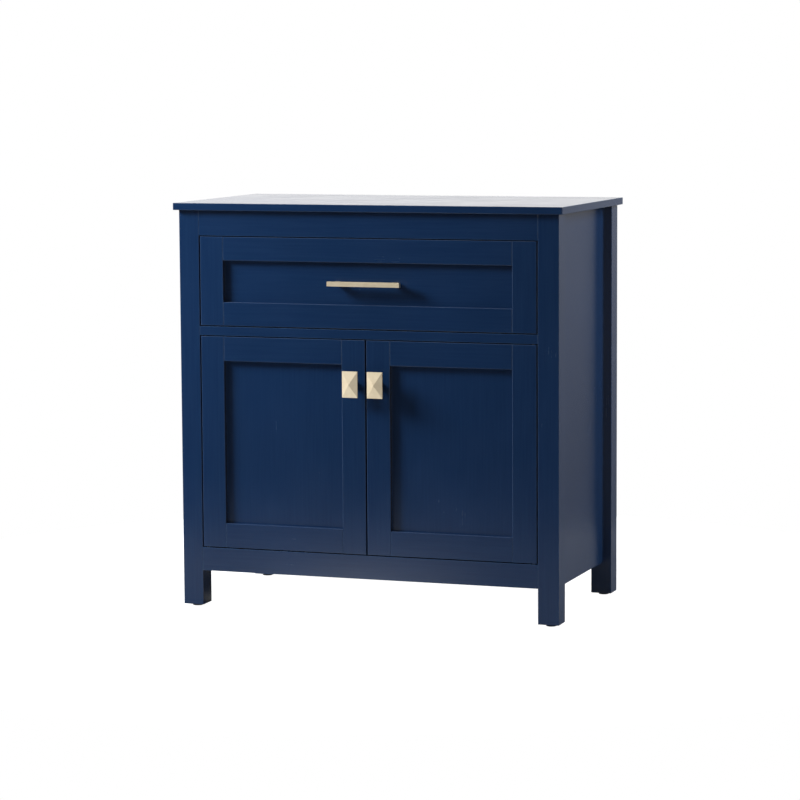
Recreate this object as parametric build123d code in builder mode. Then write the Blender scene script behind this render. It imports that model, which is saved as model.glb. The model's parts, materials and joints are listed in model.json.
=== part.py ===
from build123d import *
import os

# Bathroom vanity cabinet: a post-and-rail carcass with one wide drawer above a pair of
# inset doors. Millimetres, +Z up, the front faces -Y. The origin is on the floor, under
# the middle of the overall box, which runs from the knobs' tips to the top's back edge.

# ---- driving dimensions -------------------------------------------------------------
HEIGHT = 864.0
BODY_WIDTH = 838.0
BODY_DEPTH = 440.0
POST = 45.0
TOP_THICK = 15.0
TOP_OVERHANG = 10.0
TOP_BACK_OVERHANG = 8.0
KNOB_PROJECTION = 30.0

# levels of the front, from the floor up
GLIDE_HEIGHT = 5.0
SIDE_PANEL_BOTTOM = 73.5
LOWER_RAIL_BOTTOM = 79.5
LOWER_RAIL_TOP = 129.5
MIDDLE_RAIL_BOTTOM = 584.5
MIDDLE_RAIL_TOP = 603.5
UPPER_RAIL_BOTTOM = 795.5

# boards
RAIL_THICK = 20.0
SIDE_THICK = 15.0
SIDE_RECESS = 18.0
BOARD_THICK = 15.0
BACK_THICK = 6.0
BACK_RAIL_THICK = 19.0
BACK_RAIL_HEIGHT = 80.0
HOUSING = 8.0
TENON_LENGTH = 10.0
TENON_THICK = 10.0
TENON_INSET = 8.0
EASE = 1.0
SHOULDER_EASE = 0.5

# inset drawer front and doors
FRONT_THICK = 20.0
REVEAL_SIDE = 2.5
REVEAL_ENDS = 2.0
MEETING_GAP = 3.0
STILE = 52.0
DOOR_RAIL = 52.0
DRAWER_RAIL = 50.0
PANEL_RECESS = 9.5
PANEL_THICK = 6.0
GROOVE = 9.0
PANEL_PLAY = 1.0

# door pivots: a steel pin in the stile's end turns in a nylon bush in the rail
PIVOT_FROM_EDGE = 8.0
PIVOT_FROM_FACE = 6.0
PIN_R = 2.5
PIN_IN_STILE = 22.0
PIN_IN_BUSH = 7.0
BUSH_R = 3.75
BUSH_LENGTH = 9.0
BUSH_FLOOR = 1.5
RUNNING_FIT = 0.05

# drawer box and its ball-bearing slides
SLIDE_THICK = 12.7
SLIDE_LENGTH = 350.0
SLIDE_HEIGHT = 45.0
SLIDE_LEVEL = 680.0
SLIDE_SHEET = 1.2
SLIDE_SETBACK = 2.0
BOX_THICK = 12.0
BOX_HEIGHT = 150.0
BOX_BOTTOM = 617.0
BOX_LENGTH = 370.0
BOX_DADO = 5.0
BOX_FLOOR_THICK = 6.0
BOX_FLOOR_LIFT = 10.0

# shelf
SHELF_LEVEL = 350.0
SHELF_THICK = 18.0
SHELF_PITCH = 32.0
SHELF_PIN_R = 2.5
SHELF_PIN_INSET = 36.0
SHELF_PLAY = 2.0
SHELF_SETBACK = 29.0

# handles
PULL_LENGTH = 160.0
PULL_SECTION = 10.0
PULL_POST = 9.0
PULL_STANDOFF = 15.0
PULL_CENTRES = 128.0
KNOB_WIDTH = 34.0
KNOB_HEIGHT = 55.0
KNOB_LEVEL = 491.5
KNOB_PYRAMID = 8.0
KNOB_RIM = 3.0
KNOB_STEM = 14.0

# fasteners and fittings
SCREW_R = 2.0
SCREW_HEAD_R = 4.0
SCREW_HEAD = 2.4
RECESS_SPAN = 4.4
RECESS_SLOT = 0.9
RECESS_DEPTH = 1.6
GLIDE_R = 11.0
GLIDE_STUD_R = 3.0
GLIDE_STUD = 20.0
WALL_HOLE_R = 2.5
WALL_HOLE_SPACING = 406.0
CLEAT = 20.0
TOP_CLEAT_LENGTH = 600.0
TOP_SCREW_SPACING = 240.0
TOP_SCREW_BITE = 10.0

# ---- derived planes and levels ------------------------------------------------------
TOTAL_DEPTH = KNOB_PROJECTION + BODY_DEPTH + TOP_BACK_OVERHANG
FRONT = KNOB_PROJECTION - TOTAL_DEPTH / 2
BACK = FRONT + BODY_DEPTH
SIDE = BODY_WIDTH / 2
OPENING = SIDE - POST
CARCASS_TOP = HEIGHT - TOP_THICK
SIDE_OUTER = SIDE - SIDE_RECESS
SIDE_INNER = SIDE_OUTER - SIDE_THICK
BEHIND_POST = FRONT + POST
BEFORE_BACK_POST = BACK - POST
BACK_RAIL_FACE = BACK - BACK_RAIL_THICK
BACK_PANEL_FACE = BACK_RAIL_FACE - BACK_THICK
FRONT_INNER = FRONT + FRONT_THICK
FLOOR_BOTTOM = LOWER_RAIL_TOP - BOARD_THICK
FLUSH_EDGE = OPENING - REVEAL_SIDE
DRAWER_BOTTOM = MIDDLE_RAIL_TOP + REVEAL_ENDS
DRAWER_TOP = UPPER_RAIL_BOTTOM - REVEAL_ENDS
DOOR_BOTTOM = LOWER_RAIL_TOP + REVEAL_ENDS
DOOR_TOP = MIDDLE_RAIL_BOTTOM - REVEAL_ENDS
DOOR_MEETING_EDGE = MEETING_GAP / 2
PIVOT_X = FLUSH_EDGE - PIVOT_FROM_EDGE
PIVOT_Y = FRONT + PIVOT_FROM_FACE
PANEL_FACE = FRONT + PANEL_RECESS
PANEL_BACK = PANEL_FACE + PANEL_THICK
BOX_SIDE = OPENING - SLIDE_THICK
BOX_BACK = FRONT_INNER + BOX_LENGTH
BOX_TOP = BOX_BOTTOM + BOX_HEIGHT
SLIDE_START = FRONT_INNER + SLIDE_SETBACK
PULL_LEVEL = (DRAWER_BOTTOM + DRAWER_TOP) / 2
SHELF_PIN_FRONT = FRONT + SHELF_PIN_INSET
SHELF_PIN_BACK = BACK - SHELF_PIN_INSET

LEFT = -1
RIGHT = 1
SIDES = ((LEFT, "left"), (RIGHT, "right"))
ALONG_X = Plane.YZ

os.makedirs("parts", exist_ok=True)


# ---- helpers ------------------------------------------------------------------------
def keep(solid, node):
    """Label a finished piece and write it as its own STEP file."""
    solid.label = node
    export_step(solid, f"parts/{node}.step")


def block(x, y, z, mode=Mode.ADD):
    """A straight block between two limits on each axis, in the active part."""
    with BuildSketch(Plane.XY.offset(min(z))) as outline:
        with Locations(((x[0] + x[1]) / 2, (y[0] + y[1]) / 2)):
            Rectangle(abs(x[1] - x[0]), abs(y[1] - y[0]))
    extrude(outline.sketch, amount=abs(z[1] - z[0]), mode=mode)


def rod(plane, centre, start, end, radius, mode=Mode.ADD):
    """A round bar or hole square to a plane, between two distances from it."""
    with BuildSketch(plane.offset(start)) as outline:
        with Locations(centre):
            Circle(radius)
    extrude(outline.sketch, amount=end - start, mode=mode)


def board(x, y, z, ease=SHOULDER_EASE):
    """A plain board with eased edges."""
    with BuildPart() as piece:
        block(x, y, z)
        fillet(piece.edges(), ease)
    return piece.part


def rod_along_y(centre, start, end, radius, mode=Mode.ADD):
    """A round bar or hole along Y; the XZ plane's own normal points to -Y."""
    rod(Plane.XZ, centre, -start, -end, radius, mode)


def cross_recess(plane, centre, depth):
    """The cross recess of a screw's head, sunk from its outer face in the active part."""
    with BuildSketch(plane) as cross:
        with Locations(centre):
            Rectangle(RECESS_SPAN, RECESS_SLOT)
            Rectangle(RECESS_SLOT, RECESS_SPAN)
    extrude(cross.sketch, amount=depth, mode=Mode.SUBTRACT)


def screw_along_y(centre, seat, tip):
    """A pan-head screw in the active part, its head behind the seat it pulls against."""
    head_face = seat + SCREW_HEAD
    rod_along_y(centre, seat, tip, SCREW_R)
    rod_along_y(centre, seat, head_face, SCREW_HEAD_R)
    cross_recess(Plane.XZ.offset(-head_face), centre, RECESS_DEPTH)


def screw_hole_along_y(centre, start, end):
    """A clearance hole for a screw in the active part."""
    rod_along_y(centre, start, end, SCREW_R + RUNNING_FIT, Mode.SUBTRACT)


def mirrored(distance, side):
    """A pair of X limits on one side of the cabinet."""
    return tuple(side * d for d in distance)


# ---- carcass ------------------------------------------------------------------------
def top_panel():
    """The solid top, with small overhangs and softly rounded corners."""
    half = SIDE + TOP_OVERHANG
    with BuildPart() as piece:
        block((-half, half), (FRONT - TOP_OVERHANG, BACK + TOP_BACK_OVERHANG), (CARCASS_TOP, HEIGHT))
        fillet(piece.edges().filter_by(Axis.Z), 2 * EASE)
        fillet(piece.faces().sort_by(Axis.Z)[-1].edges(), EASE)
        fillet(piece.faces().sort_by(Axis.Z)[0].edges(), EASE)
        for centre in TOP_SCREWS:
            rod(
                Plane.XY,
                centre,
                CARCASS_TOP,
                CARCASS_TOP + TOP_SCREW_BITE,
                SCREW_R + RUNNING_FIT,
                Mode.SUBTRACT,
            )
    return piece.part


def rail_mortise(side, y, z):
    """The mortise for one rail's stub tenon, cut in the active post."""
    block(mirrored((OPENING, OPENING + TENON_LENGTH), side), y, z, Mode.SUBTRACT)


def tenon_y(face):
    """Where a rail's tenon lies behind the rail's front face."""
    middle = face + RAIL_THICK / 2
    return (middle - TENON_THICK / 2, middle + TENON_THICK / 2)


def front_post(side):
    """A front leg post: mortises for three rails, a housing for the side, pin holes."""
    with BuildPart() as post:
        block(mirrored((OPENING, SIDE), side), (FRONT, BEHIND_POST), (GLIDE_HEIGHT, CARCASS_TOP))
        fillet(post.edges(), EASE)
        rail_mortise(side, tenon_y(FRONT), (UPPER_RAIL_BOTTOM + TENON_INSET, CARCASS_TOP - TENON_INSET))
        rail_mortise(side, tenon_y(FRONT), (LOWER_RAIL_BOTTOM + TENON_INSET, LOWER_RAIL_TOP - TENON_INSET))
        rail_mortise(side, MIDDLE_TENON_Y, MIDDLE_TENON_Z)
        block(
            mirrored((SIDE_INNER, SIDE_OUTER), side),
            (BEHIND_POST - HOUSING, BEHIND_POST),
            (SIDE_PANEL_BOTTOM, CARCASS_TOP),
            Mode.SUBTRACT,
        )
        shelf_pin_holes(side, SHELF_PIN_FRONT)
        glide_hole(side, FRONT + POST / 2)
    return post.part


def back_post(side):
    """A back leg post: mortises for two rails, a groove for the back, pin holes."""
    with BuildPart() as post:
        block(mirrored((OPENING, SIDE), side), (BEFORE_BACK_POST, BACK), (GLIDE_HEIGHT, CARCASS_TOP))
        fillet(post.edges(), EASE)
        for z in (UPPER_BACK_RAIL_Z, LOWER_BACK_RAIL_Z):
            rail_mortise(side, BACK_TENON_Y, (z[0] + TENON_INSET, z[1] - TENON_INSET))
        block(
            mirrored((OPENING, OPENING + HOUSING), side),
            (BACK_PANEL_FACE, BACK_RAIL_FACE),
            (FLOOR_BOTTOM, CARCASS_TOP),
            Mode.SUBTRACT,
        )
        block(
            mirrored((SIDE_INNER, SIDE_OUTER), side),
            (BEFORE_BACK_POST, BEFORE_BACK_POST + HOUSING),
            (SIDE_PANEL_BOTTOM, CARCASS_TOP),
            Mode.SUBTRACT,
        )
        shelf_pin_holes(side, SHELF_PIN_BACK)
        glide_hole(side, BACK - POST / 2)
    return post.part


def shelf_pin_holes(side, y):
    """Three pin holes at the shelf's pitch in the active post's inner face."""
    for step in (-1, 0, 1):
        level = SHELF_LEVEL - SHELF_PIN_R + step * SHELF_PITCH
        rod(
            ALONG_X,
            (y, level),
            side * OPENING,
            side * (OPENING + TENON_LENGTH),
            SHELF_PIN_R + RUNNING_FIT,
            Mode.SUBTRACT,
        )


def glide_hole(side, y):
    """The hole for a glide's stud in the foot of the active post."""
    rod(
        Plane.XY,
        (side * (OPENING + POST / 2), y),
        GLIDE_HEIGHT,
        GLIDE_HEIGHT + GLIDE_STUD + EASE,
        GLIDE_STUD_R + RUNNING_FIT,
        Mode.SUBTRACT,
    )


def tenoned_rail(y, z, rail_tenon_y, rail_tenon_z):
    """A rail between the posts with a stub tenon at each end."""
    with BuildPart() as rail:
        block((-OPENING, OPENING), y, z)
        fillet(rail.edges(), SHOULDER_EASE)
        for side in (LEFT, RIGHT):
            block(mirrored((OPENING - EASE, OPENING + TENON_LENGTH), side), rail_tenon_y, rail_tenon_z)
    return rail


def side_panel(side):
    """A side board housed in the posts."""
    with BuildPart() as panel:
        block(
            mirrored((SIDE_INNER, SIDE_OUTER), side),
            (BEHIND_POST - HOUSING, BEFORE_BACK_POST + HOUSING),
            (SIDE_PANEL_BOTTOM, CARCASS_TOP),
        )
        fillet(panel.faces().sort_by(Axis.Z)[0].edges().filter_by(Axis.Y), EASE)
    return panel.part


TOP_CLEAT_Y = (
    (FRONT + RAIL_THICK, FRONT + RAIL_THICK + CLEAT),
    (BACK_PANEL_FACE - CLEAT, BACK_PANEL_FACE),
)
TOP_SCREWS = [
    (step * TOP_SCREW_SPACING, (y[0] + y[1]) / 2)
    for y in TOP_CLEAT_Y
    for step in (-1, 0, 1)
]
MIDDLE_TENON_Y = (FRONT + TENON_INSET, BEHIND_POST - TENON_INSET)
MIDDLE_TENON_Z = (MIDDLE_RAIL_BOTTOM + TENON_INSET / 2, MIDDLE_RAIL_TOP - TENON_INSET / 2)
UPPER_BACK_RAIL_Z = (CARCASS_TOP - BACK_RAIL_HEIGHT, CARCASS_TOP)
LOWER_BACK_RAIL_Z = (LOWER_RAIL_BOTTOM, LOWER_RAIL_TOP)
BACK_TENON_Y = (BACK_RAIL_FACE + TENON_INSET / 2, BACK - TENON_INSET / 2)

keep(top_panel(), "top_panel")
for side, word in SIDES:
    keep(front_post(side), f"front_{word}_post")
    keep(back_post(side), f"back_{word}_post")
    keep(side_panel(side), f"{word}_side_panel")

upper_front_rail = tenoned_rail(
    (FRONT, FRONT + RAIL_THICK),
    (UPPER_RAIL_BOTTOM, CARCASS_TOP),
    tenon_y(FRONT),
    (UPPER_RAIL_BOTTOM + TENON_INSET, CARCASS_TOP - TENON_INSET),
)
keep(upper_front_rail.part, "upper_front_rail")


def pivot_rail(y, z, rail_tenon_y, rail_tenon_z, bush_from, bush_to):
    """A front rail bored for the two doors' pivot bushes."""
    with BuildPart() as rail:
        add(tenoned_rail(y, z, rail_tenon_y, rail_tenon_z).part)
        for side in (LEFT, RIGHT):
            centre = (side * PIVOT_X, PIVOT_Y)
            rod(Plane.XY, centre, bush_from, bush_to, BUSH_R + RUNNING_FIT, Mode.SUBTRACT)
    return rail.part


middle_front_rail = pivot_rail(
    (FRONT, BEHIND_POST),
    (MIDDLE_RAIL_BOTTOM, MIDDLE_RAIL_TOP),
    MIDDLE_TENON_Y,
    MIDDLE_TENON_Z,
    MIDDLE_RAIL_BOTTOM,
    MIDDLE_RAIL_BOTTOM + BUSH_LENGTH,
)
keep(middle_front_rail, "middle_front_rail")

lower_front_rail = pivot_rail(
    (FRONT, FRONT + RAIL_THICK),
    (LOWER_RAIL_BOTTOM, LOWER_RAIL_TOP),
    tenon_y(FRONT),
    (LOWER_RAIL_BOTTOM + TENON_INSET, LOWER_RAIL_TOP - TENON_INSET),
    LOWER_RAIL_TOP,
    LOWER_RAIL_TOP - BUSH_LENGTH,
)
keep(lower_front_rail, "lower_front_rail")

# the upper back rail carries the two screws that hold the cabinet to a wall
with BuildPart() as upper_back_rail:
    add(
        tenoned_rail(
            (BACK_RAIL_FACE, BACK),
            UPPER_BACK_RAIL_Z,
            BACK_TENON_Y,
            (UPPER_BACK_RAIL_Z[0] + TENON_INSET, UPPER_BACK_RAIL_Z[1] - TENON_INSET),
        ).part
    )
    with Locations(Plane.XZ.offset(-BACK)):
        with Locations((0, CARCASS_TOP - BACK_RAIL_HEIGHT / 2)):
            with GridLocations(WALL_HOLE_SPACING, 0, 2, 1):
                Hole(WALL_HOLE_R, depth=BACK_RAIL_THICK)
keep(upper_back_rail.part, "upper_back_rail")

lower_back_rail = tenoned_rail(
    (BACK_RAIL_FACE, BACK),
    LOWER_BACK_RAIL_Z,
    BACK_TENON_Y,
    (LOWER_BACK_RAIL_Z[0] + TENON_INSET, LOWER_BACK_RAIL_Z[1] - TENON_INSET),
)
keep(lower_back_rail.part, "lower_back_rail")

# the back board sits in the posts' grooves, against the back rails' front faces
with BuildPart() as back_panel:
    half = OPENING + HOUSING - PANEL_PLAY
    block((-half, half), (BACK_PANEL_FACE, BACK_RAIL_FACE), (FLOOR_BOTTOM, CARCASS_TOP - PANEL_PLAY))
    with Locations(Plane.XZ.offset(-BACK_RAIL_FACE)):
        with Locations((0, CARCASS_TOP - BACK_RAIL_HEIGHT / 2)):
            with GridLocations(WALL_HOLE_SPACING, 0, 2, 1):
                Hole(WALL_HOLE_R, depth=BACK_THICK)
keep(back_panel.part, "back_panel")

# the cupboard floor is notched around the four posts
with BuildPart() as floor_panel:
    block((-SIDE_INNER, SIDE_INNER), (FRONT + RAIL_THICK, BACK_PANEL_FACE), (FLOOR_BOTTOM, LOWER_RAIL_TOP))
    for side in (LEFT, RIGHT):
        for notch_y in ((FRONT, BEHIND_POST), (BEFORE_BACK_POST, BACK)):
            block(mirrored((OPENING, SIDE), side), notch_y, (FLOOR_BOTTOM, LOWER_RAIL_TOP), Mode.SUBTRACT)
keep(floor_panel.part, "floor_panel")

with BuildPart() as floor_cleats:
    for side in (LEFT, RIGHT):
        block(
            mirrored((SIDE_INNER - CLEAT, SIDE_INNER), side),
            (BEHIND_POST, BEFORE_BACK_POST),
            (FLOOR_BOTTOM - CLEAT, FLOOR_BOTTOM),
        )
keep(floor_cleats.part, "floor_cleats")

adjustable_shelf = board(
    (SHELF_PLAY - OPENING, OPENING - SHELF_PLAY),
    (FRONT + SHELF_SETBACK, BACK_PANEL_FACE - SHELF_PLAY),
    (SHELF_LEVEL, SHELF_LEVEL + SHELF_THICK),
    EASE,
)
keep(adjustable_shelf, "adjustable_shelf")

# each pin is a peg that reaches into the post and under the shelf, with a thin collar between
COLLAR_R = 4.0
COLLAR_THICK = 1.5
PEG_INSIDE = 10.0
PEG_IN_POST = 9.0
with BuildPart() as shelf_pins:
    for side in (LEFT, RIGHT):
        for y in (SHELF_PIN_FRONT, SHELF_PIN_BACK):
            centre = (y, SHELF_LEVEL - SHELF_PIN_R)
            rod(ALONG_X, centre, side * (OPENING - PEG_INSIDE), side * (OPENING + PEG_IN_POST), SHELF_PIN_R)
    for side in (LEFT, RIGHT):
        for y in (SHELF_PIN_FRONT, SHELF_PIN_BACK):
            centre = (y, SHELF_LEVEL - SHELF_PIN_R)
            rod(ALONG_X, centre, side * (OPENING - COLLAR_THICK), side * OPENING, COLLAR_R)
keep(shelf_pins.part, "shelf_pins")

with BuildPart() as top_fixing_cleats:
    for y in TOP_CLEAT_Y:
        block((-TOP_CLEAT_LENGTH / 2, TOP_CLEAT_LENGTH / 2), y, (CARCASS_TOP - CLEAT, CARCASS_TOP))
    for centre in TOP_SCREWS:
        rod(Plane.XY, centre, CARCASS_TOP - CLEAT, CARCASS_TOP, SCREW_R + RUNNING_FIT, Mode.SUBTRACT)
keep(top_fixing_cleats.part, "top_fixing_cleats")

with BuildPart() as top_fixing_screws:
    for centre in TOP_SCREWS:
        seat = CARCASS_TOP - CLEAT
        rod(Plane.XY, centre, seat, CARCASS_TOP + TOP_SCREW_BITE - EASE, SCREW_R)
        rod(Plane.XY, centre, seat - SCREW_HEAD, seat, SCREW_HEAD_R)
        cross_recess(Plane.XY.offset(seat - SCREW_HEAD), centre, RECESS_DEPTH)
keep(top_fixing_screws.part, "top_fixing_screws")

with BuildPart() as foot_glides:
    for side in (LEFT, RIGHT):
        for y in (FRONT + POST / 2, BACK - POST / 2):
            centre = (side * (OPENING + POST / 2), y)
            rod(Plane.XY, centre, 0, GLIDE_HEIGHT, GLIDE_R)
            rod(Plane.XY, centre, GLIDE_HEIGHT, GLIDE_HEIGHT + GLIDE_STUD, GLIDE_STUD_R)
    fillet(foot_glides.edges().group_by(Axis.Z)[0], EASE)
keep(foot_glides.part, "foot_glides")

# ---- door pivots' bushes and magnetic catches ---------------------------------------
BUSH_BORE = BUSH_LENGTH - BUSH_FLOOR
CATCH_DEPTH = 18.0
CATCH_HEIGHT = 14.0
CATCH_LENGTH = 40.0
CATCH_GAP = 0.3
STRIKE_THICK = 1.2
STRIKE_MARGIN = 2.0
STILE_MIDDLE = DOOR_MEETING_EDGE + STILE / 2
CATCH_FACE = FRONT_INNER + STRIKE_THICK + CATCH_GAP

with BuildPart() as pivot_bushes:
    for side in (LEFT, RIGHT):
        centre = (side * PIVOT_X, PIVOT_Y)
        rod(Plane.XY, centre, MIDDLE_RAIL_BOTTOM, MIDDLE_RAIL_BOTTOM + BUSH_LENGTH, BUSH_R)
        rod(Plane.XY, centre, LOWER_RAIL_TOP, LOWER_RAIL_TOP - BUSH_LENGTH, BUSH_R)
    for side in (LEFT, RIGHT):
        centre = (side * PIVOT_X, PIVOT_Y)
        bore = PIN_R + RUNNING_FIT
        rod(Plane.XY, centre, MIDDLE_RAIL_BOTTOM, MIDDLE_RAIL_BOTTOM + BUSH_BORE, bore, Mode.SUBTRACT)
        rod(Plane.XY, centre, LOWER_RAIL_TOP, LOWER_RAIL_TOP - BUSH_BORE, bore, Mode.SUBTRACT)
keep(pivot_bushes.part, "pivot_bushes")

with BuildPart() as magnetic_catches:
    for side in (LEFT, RIGHT):
        middle = side * STILE_MIDDLE
        block(
            (middle - CATCH_LENGTH / 2, middle + CATCH_LENGTH / 2),
            (CATCH_FACE, CATCH_FACE + CATCH_DEPTH),
            (MIDDLE_RAIL_BOTTOM - CATCH_HEIGHT, MIDDLE_RAIL_BOTTOM),
        )
    fillet(magnetic_catches.edges().filter_by(Axis.Y), EASE)
keep(magnetic_catches.part, "magnetic_catches")

# ---- drawer slides ------------------------------------------------------------------
PACKING_HEIGHT = 80.0
BALL_SPACE = 2.0
SLIDE_Y = (SLIDE_START, SLIDE_START + SLIDE_LENGTH)
OUTER_HALF = SLIDE_HEIGHT / 2
MIDDLE_HALF = OUTER_HALF - SLIDE_SHEET - BALL_SPACE
INNER_HALF = MIDDLE_HALF - SLIDE_SHEET - BALL_SPACE
FLANGE = 6.5
MIDDLE_WEB = OPENING - SLIDE_SHEET - BALL_SPACE
SLOT_LENGTH = 24.0
SLOT_WIDTH = 7.0
SLOT_PITCH = 85.0
SLOTS = 4

with BuildPart() as slide_packing_cleats:
    for side in (LEFT, RIGHT):
        block(
            mirrored((OPENING, SIDE_INNER), side),
            (BEHIND_POST, BEFORE_BACK_POST),
            (SLIDE_LEVEL - PACKING_HEIGHT / 2, SLIDE_LEVEL + PACKING_HEIGHT / 2),
        )
keep(slide_packing_cleats.part, "slide_packing_cleats")


def channel(side, web, lip, half_height):
    """A slide member: a slotted sheet web with a flange along each edge, open towards the lip."""
    way = 1 if lip > web else -1
    web_side = -1 if side * web > side * lip else 0
    with BuildPart() as member:
        web_x = mirrored((web, web + way * SLIDE_SHEET), side)
        block(web_x, SLIDE_Y, (SLIDE_LEVEL - half_height, SLIDE_LEVEL + half_height))
        for edge in (half_height, SLIDE_SHEET - half_height):
            z = (SLIDE_LEVEL + edge - SLIDE_SHEET, SLIDE_LEVEL + edge)
            block(mirrored((web, lip), side), SLIDE_Y, z)
        fillet(member.edges().filter_by(Axis.Y).group_by(Axis.X)[web_side], EASE)
        with BuildSketch(ALONG_X.offset(min(web_x))) as slots:
            with Locations((SLIDE_START + SLIDE_LENGTH / 2, SLIDE_LEVEL)):
                with GridLocations(SLOT_PITCH, 0, SLOTS, 1):
                    SlotOverall(SLOT_LENGTH, SLOT_WIDTH)
        extrude(slots.sketch, amount=SLIDE_SHEET, mode=Mode.SUBTRACT)
    return member.part


for side, word in SIDES:
    keep(channel(side, OPENING, OPENING - FLANGE - SLIDE_SHEET, OUTER_HALF), f"{word}_slide_outer_member")
    keep(channel(side, MIDDLE_WEB, MIDDLE_WEB - FLANGE, MIDDLE_HALF), f"{word}_slide_middle_member")
    keep(channel(side, BOX_SIDE, BOX_SIDE + FLANGE, INNER_HALF), f"{word}_slide_inner_member")

# ---- framed fronts: grooved stiles and rails around a flat panel --------------------
FRAME_Y = (FRONT, FRONT_INNER)
PANEL_Y = (PANEL_FACE, PANEL_BACK)


def framed_stile(x_outer, x_inner, z):
    """A stile, grooved along its inner edge for the panel and the rails' stub tenons."""
    inward = 1 if x_inner > x_outer else -1
    with BuildPart() as stile:
        block((x_outer, x_inner), FRAME_Y, z)
        fillet(stile.edges(), EASE)
        block((x_inner - inward * GROOVE, x_inner), PANEL_Y, z, Mode.SUBTRACT)
    return stile.part


def framed_rail(x, z_outer, z_inner):
    """A rail, grooved along its inner edge, with a stub tenon at each end."""
    inward = 1 if z_inner > z_outer else -1
    groove_floor = z_inner - inward * GROOVE
    with BuildPart() as rail:
        block(x, FRAME_Y, (z_outer, z_inner))
        fillet(rail.edges(), EASE)
        block((x[0] - GROOVE, x[1] + GROOVE), PANEL_Y, (z_outer, groove_floor))
        block(x, PANEL_Y, (groove_floor, z_inner), Mode.SUBTRACT)
    return rail.part


def framed_panel(x, z):
    """A flat panel reaching into the grooves around it, short of their floors."""
    reach = GROOVE - PANEL_PLAY
    with BuildPart() as panel:
        block((x[0] - reach, x[1] + reach), PANEL_Y, (z[0] - reach, z[1] + reach))
    return panel.part


# ---- drawer -------------------------------------------------------------------------
DRAWER_Z = (DRAWER_BOTTOM, DRAWER_TOP)
DRAWER_PANEL_X = (STILE - FLUSH_EDGE, FLUSH_EDGE - STILE)
DRAWER_PANEL_Z = (DRAWER_BOTTOM + DRAWER_RAIL, DRAWER_TOP - DRAWER_RAIL)
BOX_INNER = BOX_SIDE - BOX_THICK
BOX_FRONT_Y = (FRONT_INNER, FRONT_INNER + BOX_THICK)
BOX_BACK_Y = (BOX_BACK - 2 * BOX_THICK, BOX_BACK - BOX_THICK)
BOX_Z = (BOX_BOTTOM, BOX_TOP)
BOX_FLOOR_Z = (BOX_BOTTOM + BOX_FLOOR_LIFT, BOX_BOTTOM + BOX_FLOOR_LIFT + BOX_FLOOR_THICK)
BOX_FLOOR_Y = (BOX_FRONT_Y[1] - BOX_DADO, BOX_BACK_Y[0] + BOX_DADO)
BOX_REACH = BOX_INNER + BOX_DADO
PULL_SCREW_BITE = 10.0
FRONT_SCREW_BITE = 14.0
FRONT_SCREW_X = 200.0
LOW_SCREW_DROP = 6.0
HIGH_SCREW_RISE = 7.0
LOW_SCREW_LEVEL = DRAWER_PANEL_Z[0] - GROOVE - LOW_SCREW_DROP
HIGH_SCREW_LEVEL = DRAWER_PANEL_Z[1] + GROOVE + HIGH_SCREW_RISE
PULL_SCREWS = [(side * PULL_CENTRES / 2, PULL_LEVEL) for side in (LEFT, RIGHT)]
LOW_SCREWS = [(side * FRONT_SCREW_X, LOW_SCREW_LEVEL) for side in (LEFT, RIGHT)]
HIGH_SCREWS = [(side * FRONT_SCREW_X, HIGH_SCREW_LEVEL) for side in (LEFT, RIGHT)]

for side, word in SIDES:
    keep(framed_stile(side * FLUSH_EDGE, side * (FLUSH_EDGE - STILE), DRAWER_Z), f"drawer_{word}_stile")

with BuildPart() as drawer_top_rail:
    add(framed_rail(DRAWER_PANEL_X, DRAWER_TOP, DRAWER_PANEL_Z[1]))
    for centre in HIGH_SCREWS:
        screw_hole_along_y(centre, FRONT_INNER - FRONT_SCREW_BITE - EASE, FRONT_INNER)
keep(drawer_top_rail.part, "drawer_top_rail")

with BuildPart() as drawer_bottom_rail:
    add(framed_rail(DRAWER_PANEL_X, DRAWER_BOTTOM, DRAWER_PANEL_Z[0]))
    for centre in LOW_SCREWS:
        screw_hole_along_y(centre, FRONT_INNER - FRONT_SCREW_BITE - EASE, FRONT_INNER)
keep(drawer_bottom_rail.part, "drawer_bottom_rail")

with BuildPart() as drawer_panel:
    add(framed_panel(DRAWER_PANEL_X, DRAWER_PANEL_Z))
    for centre in PULL_SCREWS:
        screw_hole_along_y(centre, PANEL_FACE, PANEL_BACK)
keep(drawer_panel.part, "drawer_panel")


def box_side(side):
    """A drawer box side, housed for the box's front and back and grooved for its floor."""
    with BuildPart() as piece:
        block(mirrored((BOX_INNER, BOX_SIDE), side), (FRONT_INNER, BOX_BACK), BOX_Z)
        for y in (BOX_FRONT_Y, BOX_BACK_Y):
            block(mirrored((BOX_INNER, BOX_REACH), side), y, BOX_Z, Mode.SUBTRACT)
        block(mirrored((BOX_INNER, BOX_REACH), side), BOX_FLOOR_Y, BOX_FLOOR_Z, Mode.SUBTRACT)
        fillet(piece.edges().filter_by(Axis.Y).group_by(Axis.Z)[-1], EASE)
    return piece.part


def box_end(y):
    """The drawer box's front or back board, grooved for its floor."""
    with BuildPart() as piece:
        block((-BOX_REACH, BOX_REACH), y, BOX_Z)
        block((-BOX_REACH, BOX_REACH), BOX_FLOOR_Y, BOX_FLOOR_Z, Mode.SUBTRACT)
    return piece.part


for side, word in SIDES:
    keep(box_side(side), f"drawer_box_{word}_side")

with BuildPart() as drawer_box_front:
    add(box_end(BOX_FRONT_Y))
    for centre in PULL_SCREWS + LOW_SCREWS + HIGH_SCREWS:
        screw_hole_along_y(centre, BOX_FRONT_Y[0], BOX_FRONT_Y[1])
keep(drawer_box_front.part, "drawer_box_front")
keep(box_end(BOX_BACK_Y), "drawer_box_back")

with BuildPart() as drawer_box_floor:
    block((-BOX_REACH, BOX_REACH), BOX_FLOOR_Y, BOX_FLOOR_Z)
keep(drawer_box_floor.part, "drawer_box_floor")

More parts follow.
